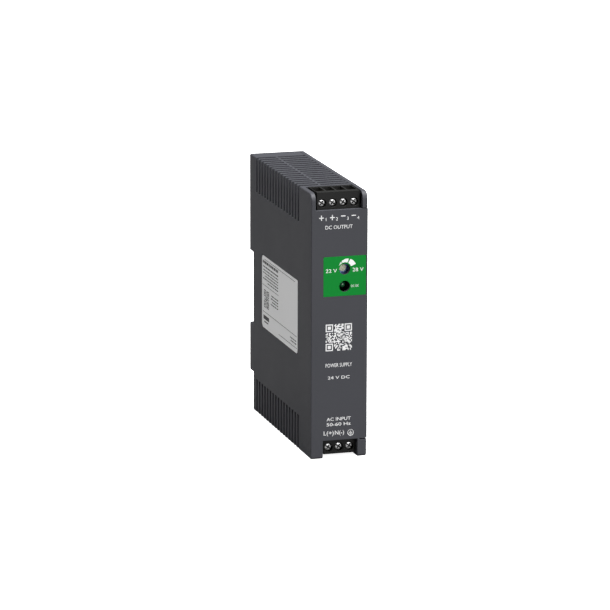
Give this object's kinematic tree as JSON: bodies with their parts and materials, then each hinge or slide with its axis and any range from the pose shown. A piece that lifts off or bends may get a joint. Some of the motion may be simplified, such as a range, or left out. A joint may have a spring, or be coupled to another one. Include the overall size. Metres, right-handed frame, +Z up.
{
  "type": "din rail power supply",
  "caption": "Slim vented DIN rail power supply with recessed screw terminals above and below, a green panel with trimmer and lamp, and a rail latch.",
  "frame": {"origin": "middle of the footprint, on the plane of the lowest face", "axes": "+Z up along the height, -Y out of the front, +X to the right across the narrow width"},
  "size_m": [0.027, 0.103, 0.125],
  "materials": {
    "shell_plastic": "dark blue-grey moulded housing plastic with a fine texture",
    "latch_plastic": "dark grey moulded plastic",
    "terminal_plastic": "black terminal plastic, smooth",
    "panel_green": "green printed film",
    "label_film": "light grey rating label film",
    "plated_steel": "bright zinc-plated steel",
    "tinned_brass": "tinned brass",
    "spring_steel": "spring wire",
    "rotor_cream": "cream trimmer rotor",
    "component_blue": "blue component body",
    "lamp_green": "green tinted lamp, unlit",
    "moulded_epoxy": "black moulded epoxy",
    "board_green": "solder-masked circuit board",
    "insulating_film": "translucent insulating film",
    "ferrite_grey": "sintered ferrite",
    "winding_tape": "yellow insulating tape over the windings",
    "enamelled_copper": "enamelled copper wire",
    "capacitor_sleeve": "black shrink sleeve over an aluminium can",
    "film_capacitor": "yellow film capacitor case",
    "ceramic_green": "green coated ceramic disc",
    "bare_aluminium": "bare aluminium sheet"
  },
  "bodies": {
    "housing": {"bridge_rectifier": "moulded_epoxy", "bulk_capacitor": "capacitor_sleeve", "choke_core": "ferrite_grey", "choke_winding_lower": "enamelled_copper", "choke_winding_upper": "enamelled_copper", "controller_chip": "moulded_epoxy", "din_latch_spring": "spring_steel", "front_board": "board_green", "front_panel_label": "panel_green", "input_contact_1": "tinned_brass", "input_contact_2": "tinned_brass", "input_contact_3": "tinned_brass", "input_fuse": "moulded_epoxy", "input_terminal_housing": "terminal_plastic", "inrush_thermistor": "ceramic_green", "insulating_sheet": "insulating_film", "lamp_spacer": "moulded_epoxy", "main_board": "board_green", "main_housing": "shell_plastic", "optocoupler": "moulded_epoxy", "output_capacitor_1": "capacitor_sleeve", "output_capacitor_2": "capacitor_sleeve", "output_contact_1": "tinned_brass", "output_contact_2": "tinned_brass", "output_contact_3": "tinned_brass", "output_contact_4": "tinned_brass", "output_inductor": "enamelled_copper", "output_rectifier": "moulded_epoxy", "output_terminal_housing": "terminal_plastic", "primary_heatsink": "bare_aluminium", "primary_heatsink_screw": "plated_steel", "rating_label": "label_film", "secondary_heatsink": "bare_aluminium", "secondary_heatsink_screw": "plated_steel", "side_cover": "shell_plastic", "status_lamp": "lamp_green", "surge_varistor": "component_blue", "switching_transistor": "moulded_epoxy", "transformer_core": "ferrite_grey", "transformer_winding": "winding_tape", "trimmer_body": "component_blue", "x_capacitor": "film_capacitor", "y_capacitor": "component_blue"},
    "output_screw_1": {"output_screw_1": "plated_steel"},
    "output_cage_1": {"output_cage_1": "tinned_brass"},
    "output_screw_2": {"output_screw_2": "plated_steel"},
    "output_cage_2": {"output_cage_2": "tinned_brass"},
    "output_screw_3": {"output_screw_3": "plated_steel"},
    "output_cage_3": {"output_cage_3": "tinned_brass"},
    "output_screw_4": {"output_screw_4": "plated_steel"},
    "output_cage_4": {"output_cage_4": "tinned_brass"},
    "input_screw_1": {"input_screw_1": "plated_steel"},
    "input_cage_1": {"input_cage_1": "tinned_brass"},
    "input_screw_2": {"input_screw_2": "plated_steel"},
    "input_cage_2": {"input_cage_2": "tinned_brass"},
    "input_screw_3": {"input_screw_3": "plated_steel"},
    "input_cage_3": {"input_cage_3": "tinned_brass"},
    "trimmer_rotor": {"trimmer_rotor": "rotor_cream"},
    "din_latch": {"din_latch": "latch_plastic"}
  },
  "joints": [
    {"name": "output_screw_1_turn", "type": "hinge", "parent": "housing", "child": "output_screw_1", "pos_m": [-0.00728, -0.047, 0.1197], "axis": [0, 1, 0], "range_deg": [0, 1761]},
    {"name": "output_cage_1_draw", "type": "slide", "parent": "housing", "child": "output_cage_1", "axis": [0, -1, 0], "range_m": [0, 0.0022]},
    {"name": "output_screw_2_turn", "type": "hinge", "parent": "housing", "child": "output_screw_2", "pos_m": [-0.0022, -0.047, 0.1197], "axis": [0, 1, 0], "range_deg": [0, 1761]},
    {"name": "output_cage_2_draw", "type": "slide", "parent": "housing", "child": "output_cage_2", "axis": [0, -1, 0], "range_m": [0, 0.0022]},
    {"name": "output_screw_3_turn", "type": "hinge", "parent": "housing", "child": "output_screw_3", "pos_m": [0.00288, -0.047, 0.1197], "axis": [0, 1, 0], "range_deg": [0, 1761]},
    {"name": "output_cage_3_draw", "type": "slide", "parent": "housing", "child": "output_cage_3", "axis": [0, -1, 0], "range_m": [0, 0.0022]},
    {"name": "output_screw_4_turn", "type": "hinge", "parent": "housing", "child": "output_screw_4", "pos_m": [0.00796, -0.047, 0.1197], "axis": [0, 1, 0], "range_deg": [0, 1761]},
    {"name": "output_cage_4_draw", "type": "slide", "parent": "housing", "child": "output_cage_4", "axis": [0, -1, 0], "range_m": [0, 0.0022]},
    {"name": "input_screw_1_turn", "type": "hinge", "parent": "housing", "child": "input_screw_1", "pos_m": [-0.0039, -0.047, 0.0043], "axis": [0, 1, 0], "range_deg": [0, 1761]},
    {"name": "input_cage_1_draw", "type": "slide", "parent": "housing", "child": "input_cage_1", "axis": [0, -1, 0], "range_m": [0, 0.0022]},
    {"name": "input_screw_2_turn", "type": "hinge", "parent": "housing", "child": "input_screw_2", "pos_m": [0.00118, -0.047, 0.0043], "axis": [0, 1, 0], "range_deg": [0, 1761]},
    {"name": "input_cage_2_draw", "type": "slide", "parent": "housing", "child": "input_cage_2", "axis": [0, -1, 0], "range_m": [0, 0.0022]},
    {"name": "input_screw_3_turn", "type": "hinge", "parent": "housing", "child": "input_screw_3", "pos_m": [0.00626, -0.047, 0.0043], "axis": [0, 1, 0], "range_deg": [0, 1761]},
    {"name": "input_cage_3_draw", "type": "slide", "parent": "housing", "child": "input_cage_3", "axis": [0, -1, 0], "range_m": [0, 0.0022]},
    {"name": "voltage_trimmer_turn", "type": "hinge", "parent": "housing", "child": "trimmer_rotor", "pos_m": [0.00255, -0.048, 0.0892], "axis": [0, 1, 0], "range_deg": [-130, 130]},
    {"name": "din_latch_slide", "type": "slide", "parent": "housing", "child": "din_latch", "axis": [0, 0, -1], "range_m": [0, 0.003], "stiffness_N_per_m": 900, "springref_m": -0.004, "deforming": ["din_latch_spring"]}
  ],
  "couplings": [
    {"joint": "output_screw_1_turn", "follows": "output_cage_1_draw", "rad_per_m": 13963},
    {"joint": "output_screw_2_turn", "follows": "output_cage_2_draw", "rad_per_m": 13963},
    {"joint": "output_screw_3_turn", "follows": "output_cage_3_draw", "rad_per_m": 13963},
    {"joint": "output_screw_4_turn", "follows": "output_cage_4_draw", "rad_per_m": 13963},
    {"joint": "input_screw_1_turn", "follows": "input_cage_1_draw", "rad_per_m": 13963},
    {"joint": "input_screw_2_turn", "follows": "input_cage_2_draw", "rad_per_m": 13963},
    {"joint": "input_screw_3_turn", "follows": "input_cage_3_draw", "rad_per_m": 13963}
  ]
}
